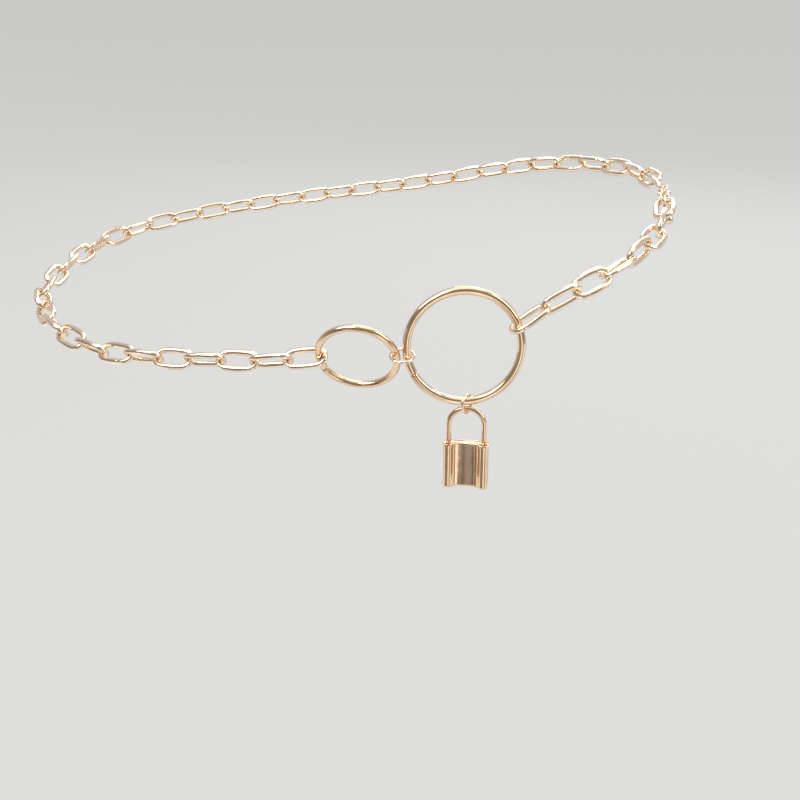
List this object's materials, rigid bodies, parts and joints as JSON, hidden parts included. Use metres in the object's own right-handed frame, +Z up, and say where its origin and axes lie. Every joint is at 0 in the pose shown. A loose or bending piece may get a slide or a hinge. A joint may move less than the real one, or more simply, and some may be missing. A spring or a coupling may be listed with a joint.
{
  "type": "waist chain",
  "caption": "Worn waist chain of oval links with two plain rings, a hanging padlock charm and a clasp with a free end.",
  "frame": {"origin": "middle of the worn loop, on the axis of the wearer's body", "axes": "+Z up as worn, -Y to the wearer's front, +X to the wearer's left"},
  "size_m": [0.3541, 0.2387, 0.1368],
  "materials": {
    "plated_metal": "polished pale gold plating"
  },
  "bodies": {
    "chain": {"right_chain": "plated_metal", "left_chain": "plated_metal", "big_ring": "plated_metal", "small_ring": "plated_metal", "ring_connector": "plated_metal", "end_ring": "plated_metal", "drop_ring": "plated_metal", "end_drop": "plated_metal", "clasp": "plated_metal", "clasp_jump_ring": "plated_metal"},
    "lock_ring": {"lock_jump_ring": "plated_metal"},
    "lock": {"lock_shackle": "plated_metal", "lock_body": "plated_metal"}
  },
  "joints": [
    {"name": "lock_swing", "type": "hinge", "parent": "chain", "child": "lock_ring", "pos_m": [0.08298, -0.10521, -0.05143], "axis": [0.9777, 0.2098, 0], "range_deg": [-90, 90]},
    {"name": "lock_sway", "type": "hinge", "parent": "lock_ring", "child": "lock", "pos_m": [0.08298, -0.10521, -0.05738], "axis": [-0.3728, -0.9279, 0], "range_deg": [-22, 22]}
  ]
}
